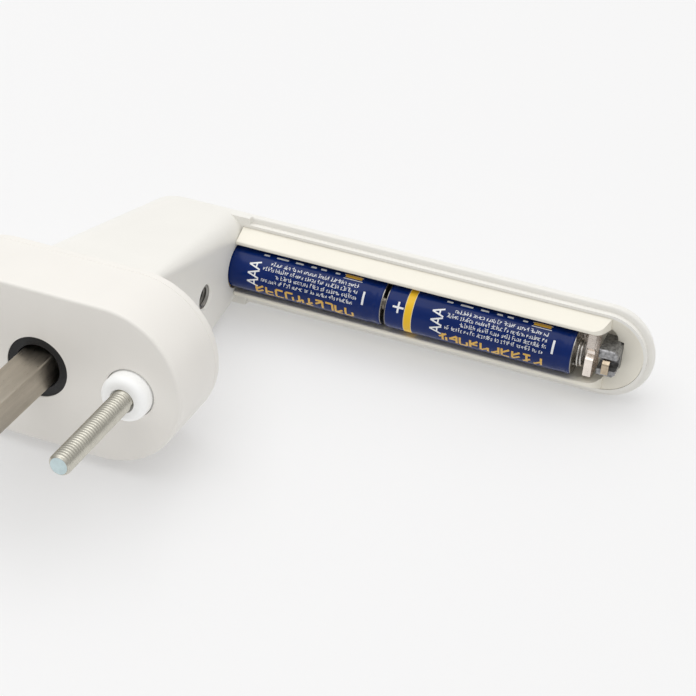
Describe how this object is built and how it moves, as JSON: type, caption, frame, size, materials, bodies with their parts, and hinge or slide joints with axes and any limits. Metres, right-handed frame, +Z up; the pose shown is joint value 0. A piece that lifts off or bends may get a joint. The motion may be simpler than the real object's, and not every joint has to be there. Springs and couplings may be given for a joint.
{
  "type": "battery-powered window handle",
  "caption": "White lever handle for a tilt-and-turn window: round-ended rosette with a square spindle, and a long grip whose open back holds round cells.",
  "frame": {"origin": "on the spindle's axis, in the plane of the rosette's rear face, which lies on the window sash", "axes": "+X along the closed grip away from the spindle, +Y out of the sash into the room, +Z up"},
  "size_m": [0.1498, 0.1065, 0.0366],
  "materials": {
    "white_paint": "satin powder coat, faintly warm white",
    "rosette_white": "satin, faintly warm white",
    "bush_white": "satin white",
    "tray_cream": "semi-gloss cream white",
    "liner_black": "matte black",
    "spindle_steel": "satin grey-bronze passivated steel with drawn lines",
    "bright_steel": "bright zinc-plated steel",
    "zinc_casting": "as-cast zinc alloy",
    "latch_zinc": "dark grey as-cast zinc alloy, fine grain",
    "spring_steel": "drawn spring wire",
    "nickel_sheet": "nickel-plated sheet, warm grey",
    "magnet_nickel": "nickel-plated magnet",
    "cell_sleeve_navy": "glossy navy film with a yellow ring and small pale marks",
    "cell_can_steel": "nickel-plated steel can",
    "cell_cap_nickel": "nickel-plated steel cap",
    "board_green": "solder-masked circuit board",
    "module_can": "tin-plated shield",
    "chip_black": "moulded black package",
    "wire_red": "insulated wire"
  },
  "bodies": {
    "rosette": {"rosette_housing": "rosette_white", "rosette_cap": "rosette_white", "spindle_bush": "liner_black", "detent_carrier": "zinc_casting", "bearing_plate": "zinc_casting", "position_magnets": "magnet_nickel", "screw_bush_left": "bush_white", "screw_bush_right": "bush_white", "screw_washer_left": "bright_steel", "screw_washer_right": "bright_steel", "rosette_screw_left": "bright_steel", "rosette_screw_right": "bright_steel", "detent_spring_lower": "spring_steel", "detent_spring_upper": "spring_steel"},
    "handle": {"hub": "zinc_casting", "spindle": "spindle_steel", "detent_ring": "bright_steel", "retaining_clip": "spring_steel", "spring_washer": "spring_steel", "grub_screw": "bright_steel", "handle_shell": "white_paint", "threaded_insert": "bright_steel", "battery_tray": "tray_cream", "tray_screws": "bright_steel", "cell_1_can": "cell_can_steel", "cell_1_sleeve": "cell_sleeve_navy", "cell_1_plus_cap": "cell_cap_nickel", "cell_2_can": "cell_can_steel", "cell_2_sleeve": "cell_sleeve_navy", "cell_2_plus_cap": "cell_cap_nickel", "plus_contact": "nickel_sheet", "contact_holder": "liner_black", "minus_spring": "spring_steel", "minus_contact": "nickel_sheet", "latch_block": "latch_zinc", "latch_leaf": "nickel_sheet", "return_strip": "nickel_sheet", "antenna_wire": "wire_red", "radio_board": "board_green", "radio_module": "module_can", "turn_sensor": "chip_black", "board_screws": "bright_steel"},
    "ball_upper": {"detent_ball_upper": "bright_steel"},
    "ball_lower": {"detent_ball_lower": "bright_steel"}
  },
  "joints": [
    {"name": "handle_turn", "type": "hinge", "parent": "rosette", "child": "handle", "pos_m": [0, 0, 0], "axis": [0, -1, 0], "continuous": true},
    {"name": "ball_upper_slide", "type": "slide", "parent": "rosette", "child": "ball_upper", "axis": [0, 0, 1], "range_m": [0, 0.0012], "stiffness_N_per_m": 2000, "springref_m": -0.001, "deforming": ["detent_spring_upper"]},
    {"name": "ball_lower_slide", "type": "slide", "parent": "rosette", "child": "ball_lower", "axis": [0, 0, -1], "range_m": [0, 0.0012], "stiffness_N_per_m": 2000, "springref_m": -0.001, "deforming": ["detent_spring_lower"]}
  ]
}
